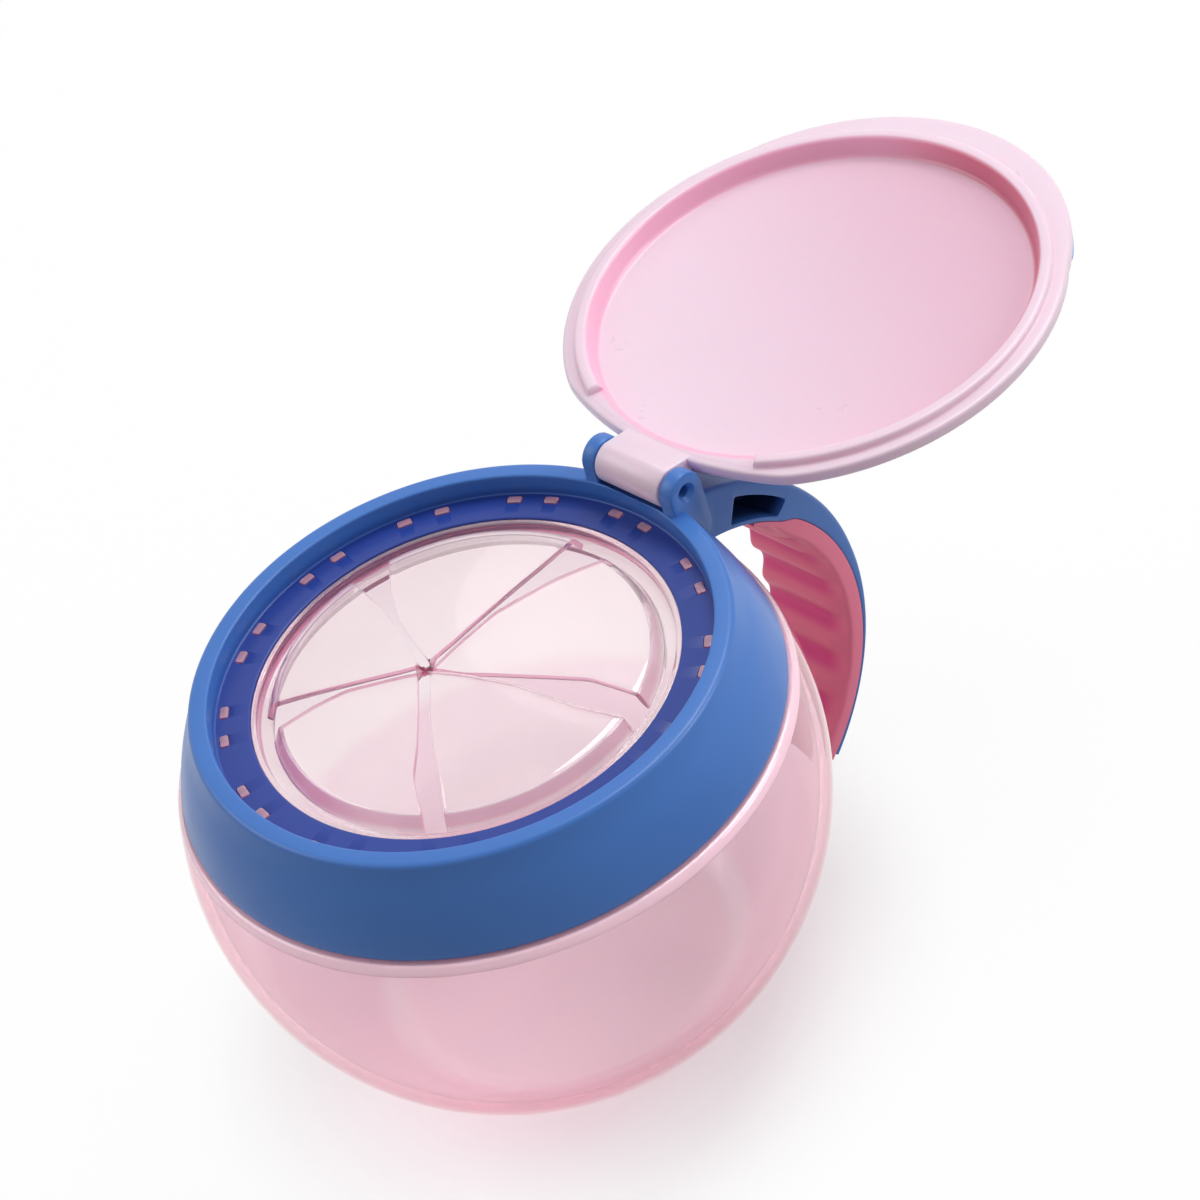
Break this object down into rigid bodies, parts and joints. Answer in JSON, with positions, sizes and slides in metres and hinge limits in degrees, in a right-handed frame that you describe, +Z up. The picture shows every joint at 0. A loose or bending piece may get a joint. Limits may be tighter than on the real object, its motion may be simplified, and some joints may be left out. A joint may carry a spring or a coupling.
{
  "type": "snack container",
  "caption": "Round snack bowl with a screw collar, a soft split valve for a small hand, a hinged lid and a curved side handle.",
  "frame": {"origin": "centre of the bowl's flat base", "axes": "+Z up along the bowl's axis, +Y towards the hinge and the handle, +X along the hinge pin"},
  "size_m": [0.1, 0.1766, 0.0813],
  "materials": {
    "bowl_clear": "clear tinted, polished",
    "seal": "soft, matt",
    "collar_blue": "satin moulded",
    "grip": "soft, matt",
    "pin": "bright drawn",
    "valve": "clear soft, glossy",
    "lid_pink": "satin moulded",
    "pad": "soft, matt"
  },
  "bodies": {
    "bowl": {"bowl": "bowl_clear"},
    "seal": {"seal_ring": "seal"},
    "collar": {"collar": "collar_blue", "handle": "collar_blue", "handle_grip": "grip", "hinge_pin": "pin", "valve_ring": "valve"},
    "flap_1": {"flap_1": "valve"},
    "flap_2": {"flap_2": "valve"},
    "flap_3": {"flap_3": "valve"},
    "flap_4": {"flap_4": "valve"},
    "flap_5": {"flap_5": "valve"},
    "lid": {"lid": "lid_pink", "thumb_pad": "pad"}
  },
  "joints": [
    {"name": "collar_lift", "type": "slide", "parent": "bowl", "child": "seal", "axis": [0, 0, 1], "range_m": [0, 0.0046]},
    {"name": "collar_turn", "type": "hinge", "parent": "seal", "child": "collar", "pos_m": [0, 0, 0.0568], "axis": [0, 0, 1], "range_deg": [0, 450]},
    {"name": "lid_hinge", "type": "hinge", "parent": "collar", "child": "lid", "pos_m": [0, 0.04168, 0.0735], "axis": [1, 0, 0], "range_deg": [0, 176.8]},
    {"name": "flap_1_fold", "type": "hinge", "parent": "collar", "child": "flap_1", "pos_m": [0.01062, 0.01666, 0.06774], "axis": [0.8434, -0.5373, 0], "range_deg": [-30, 60], "stiffness_Nm_per_rad": 0.01},
    {"name": "flap_2_fold", "type": "hinge", "parent": "collar", "child": "flap_2", "pos_m": [-0.01474, 0.01666, 0.06764], "axis": [0.749, 0.6626, 0], "range_deg": [-30, 60], "stiffness_Nm_per_rad": 0.01},
    {"name": "flap_3_fold", "type": "hinge", "parent": "collar", "child": "flap_3", "pos_m": [-0.02217, -0.00553, 0.06762], "axis": [-0.2419, 0.9703, 0], "range_deg": [-30, 60], "stiffness_Nm_per_rad": 0.01},
    {"name": "flap_4_fold", "type": "hinge", "parent": "collar", "child": "flap_4", "pos_m": [-0.00192, -0.01997, 0.06773], "axis": [-0.9954, 0.0958, 0], "range_deg": [-30, 60], "stiffness_Nm_per_rad": 0.01},
    {"name": "flap_5_fold", "type": "hinge", "parent": "collar", "child": "flap_5", "pos_m": [0.02025, -0.00717, 0.06767], "axis": [-0.3338, -0.9426, 0], "range_deg": [-30, 60], "stiffness_Nm_per_rad": 0.01}
  ],
  "couplings": [
    {"joint": "collar_lift", "follows": "collar_turn", "m_per_rad": 0.00057296}
  ]
}
